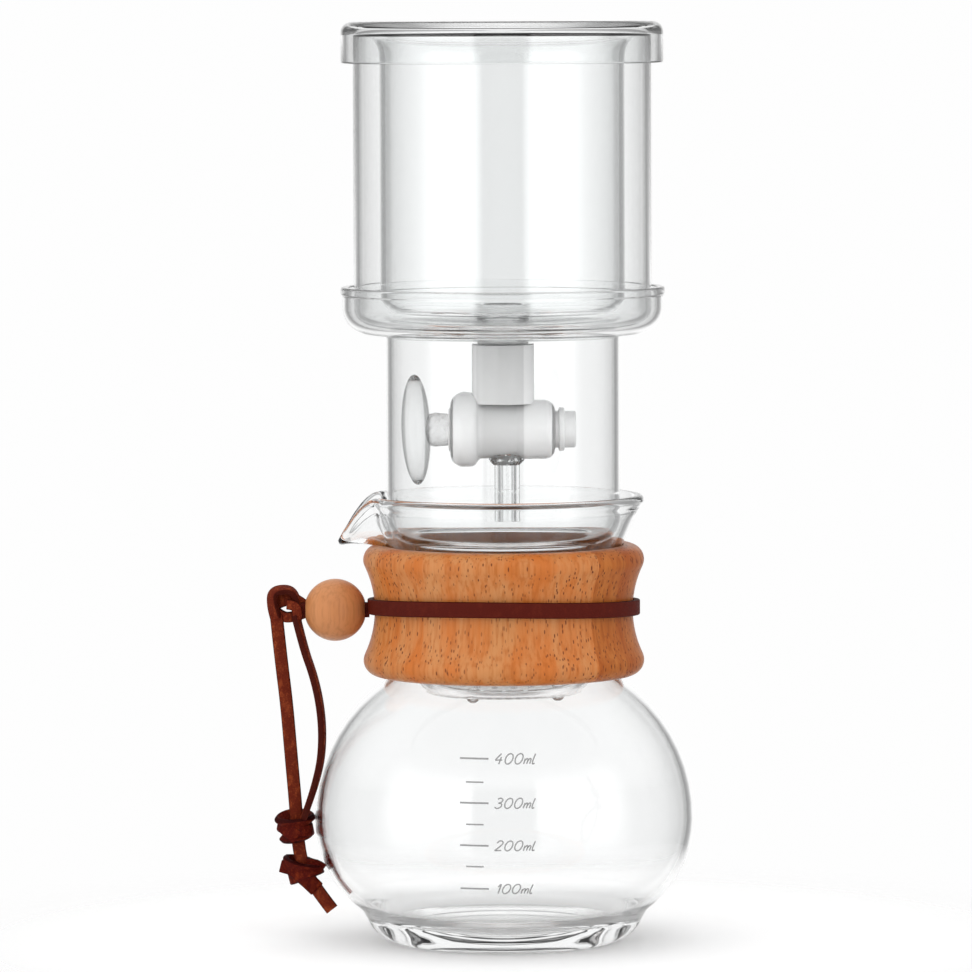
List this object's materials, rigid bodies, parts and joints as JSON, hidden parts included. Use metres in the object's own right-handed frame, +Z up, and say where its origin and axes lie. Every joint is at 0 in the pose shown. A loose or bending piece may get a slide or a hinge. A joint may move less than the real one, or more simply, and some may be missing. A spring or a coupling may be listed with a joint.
{
  "type": "cold drip coffee tower",
  "caption": "Stacked glass drip tower: lidded double-walled water vessel with a tap, coffee chamber and a spouted carafe with a wooden collar and leather tie.",
  "frame": {"origin": "on the tower's axis, at the plane that the carafe stands on", "axes": "+Z up along the tower's axis; the spout, the leather tie and the tap's handle point to -X; the volume marks face -Y"},
  "size_m": [0.1204, 0.1074, 0.26],
  "materials": {
    "clear_glass": "clear borosilicate glass, fire polished",
    "frosted_glass": "ground, frosted borosilicate glass",
    "retaining_ring": "translucent soft ring",
    "filter_mesh": "fine pale filter mesh",
    "collar_wood": "oiled orange-brown wood with dark pores",
    "bead_wood": "smooth tan wood, satin",
    "band_leather": "dark burgundy leather, smooth",
    "lace_leather": "red-brown leather with darker edges"
  },
  "bodies": {
    "carafe_set": {"carafe": "clear_glass", "collar_half_front": "collar_wood", "collar_half_rear": "collar_wood", "lace_band": "band_leather", "lace_through_bead": "band_leather", "wooden_bead": "bead_wood", "bead_knot": "lace_leather", "lace_long": "lace_leather", "lace_short": "lace_leather", "slip_knot": "lace_leather", "end_knot": "lace_leather"},
    "coffee_chamber": {"seat_dish": "clear_glass", "chamber_tube": "clear_glass", "filter_cup": "clear_glass", "perforated_plate": "clear_glass", "drip_nubs": "clear_glass"},
    "filter": {"filter_disc": "filter_mesh"},
    "water_vessel": {"vessel_outer_wall": "clear_glass", "vessel_inner_wall": "clear_glass", "vessel_outlet_cone": "frosted_glass"},
    "vessel_lid": {"lid": "clear_glass"},
    "tap": {"valve_socket": "frosted_glass", "valve_barrel": "frosted_glass", "drip_tube": "clear_glass"},
    "tap_plug": {"valve_plug": "frosted_glass", "plug_handle": "clear_glass", "plug_retaining_ring": "retaining_ring"}
  },
  "joints": [
    {"name": "chamber_lift", "type": "slide", "parent": "carafe_set", "child": "coffee_chamber", "axis": [0, 0, 1], "range_m": [0, 0.06]},
    {"name": "filter_lift", "type": "slide", "parent": "coffee_chamber", "child": "filter", "axis": [0, 0, 1], "range_m": [0, 0.045]},
    {"name": "vessel_lift", "type": "slide", "parent": "coffee_chamber", "child": "water_vessel", "axis": [0, 0, 1], "range_m": [0, 0.067]},
    {"name": "lid_lift", "type": "slide", "parent": "water_vessel", "child": "vessel_lid", "axis": [0, 0, 1], "range_m": [0, 0.02]},
    {"name": "tap_pull", "type": "slide", "parent": "water_vessel", "child": "tap", "axis": [0, 0, -1], "range_m": [0, 0.0125]},
    {"name": "tap_turn", "type": "hinge", "parent": "tap", "child": "tap_plug", "pos_m": [0, 0, 0.14495], "axis": [1, 0, 0], "continuous": true}
  ]
}
